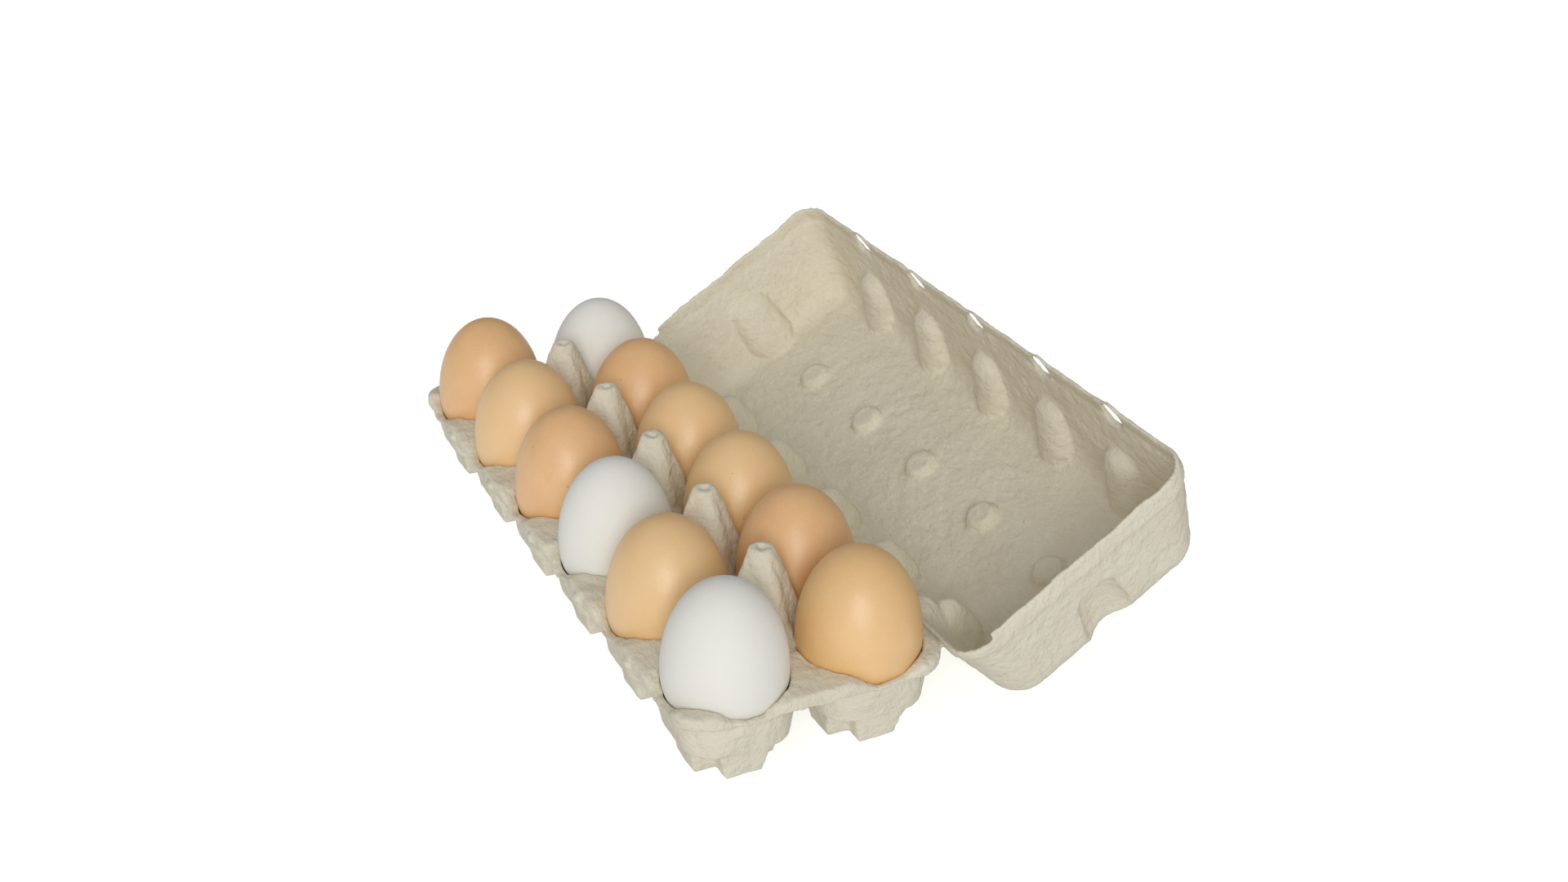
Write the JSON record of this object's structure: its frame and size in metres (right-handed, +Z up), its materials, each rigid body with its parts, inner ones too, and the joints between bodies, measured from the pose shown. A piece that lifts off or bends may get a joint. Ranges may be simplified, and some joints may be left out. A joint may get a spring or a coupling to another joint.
{
  "type": "egg carton",
  "caption": "Moulded-pulp egg carton with a hinged lid, lock buttons and slots, and eggs that lift out of the cups.",
  "frame": {"origin": "the middle of the tray, on the surface that its feet stand on", "axes": "+X along the length of the carton, +Y towards the hinge and the open lid, +Z up"},
  "size_m": [0.2938, 0.204, 0.0855],
  "materials": {
    "moulded_pulp": "matte",
    "tan_shell": "satin",
    "brown_shell": "satin",
    "white_shell": "satin"
  },
  "bodies": {
    "tray": {"tray": "moulded_pulp", "hinge_web": "moulded_pulp"},
    "lid": {"lid": "moulded_pulp"},
    "egg_front_1": {"egg_front_1": "brown_shell"},
    "egg_front_2": {"egg_front_2": "tan_shell"},
    "egg_front_3": {"egg_front_3": "brown_shell"},
    "egg_front_4": {"egg_front_4": "white_shell"},
    "egg_front_5": {"egg_front_5": "tan_shell"},
    "egg_front_6": {"egg_front_6": "white_shell"},
    "egg_hinge_1": {"egg_hinge_1": "white_shell"},
    "egg_hinge_2": {"egg_hinge_2": "brown_shell"},
    "egg_hinge_3": {"egg_hinge_3": "tan_shell"},
    "egg_hinge_4": {"egg_hinge_4": "tan_shell"},
    "egg_hinge_5": {"egg_hinge_5": "brown_shell"},
    "egg_hinge_6": {"egg_hinge_6": "tan_shell"}
  },
  "joints": [
    {"name": "lid_hinge", "type": "hinge", "parent": "tray", "child": "lid", "pos_m": [0, 0.0522, 0.0276], "axis": [-1, 0, 0], "range_deg": [-148, 0], "deforming": ["hinge_web"]},
    {"name": "egg_front_1_lift", "type": "slide", "parent": "tray", "child": "egg_front_1", "axis": [0, 0, 1], "range_m": [0, 0.08]},
    {"name": "egg_front_2_lift", "type": "slide", "parent": "tray", "child": "egg_front_2", "axis": [0, 0, 1], "range_m": [0, 0.08]},
    {"name": "egg_front_3_lift", "type": "slide", "parent": "tray", "child": "egg_front_3", "axis": [0, 0, 1], "range_m": [0, 0.08]},
    {"name": "egg_front_4_lift", "type": "slide", "parent": "tray", "child": "egg_front_4", "axis": [0, 0, 1], "range_m": [0, 0.08]},
    {"name": "egg_front_5_lift", "type": "slide", "parent": "tray", "child": "egg_front_5", "axis": [0, 0, 1], "range_m": [0, 0.08]},
    {"name": "egg_front_6_lift", "type": "slide", "parent": "tray", "child": "egg_front_6", "axis": [0, 0, 1], "range_m": [0, 0.08]},
    {"name": "egg_hinge_1_lift", "type": "slide", "parent": "tray", "child": "egg_hinge_1", "axis": [0, 0, 1], "range_m": [0, 0.08]},
    {"name": "egg_hinge_2_lift", "type": "slide", "parent": "tray", "child": "egg_hinge_2", "axis": [0, 0, 1], "range_m": [0, 0.08]},
    {"name": "egg_hinge_3_lift", "type": "slide", "parent": "tray", "child": "egg_hinge_3", "axis": [0, 0, 1], "range_m": [0, 0.08]},
    {"name": "egg_hinge_4_lift", "type": "slide", "parent": "tray", "child": "egg_hinge_4", "axis": [0, 0, 1], "range_m": [0, 0.08]},
    {"name": "egg_hinge_5_lift", "type": "slide", "parent": "tray", "child": "egg_hinge_5", "axis": [0, 0, 1], "range_m": [0, 0.08]},
    {"name": "egg_hinge_6_lift", "type": "slide", "parent": "tray", "child": "egg_hinge_6", "axis": [0, 0, 1], "range_m": [0, 0.08]}
  ]
}
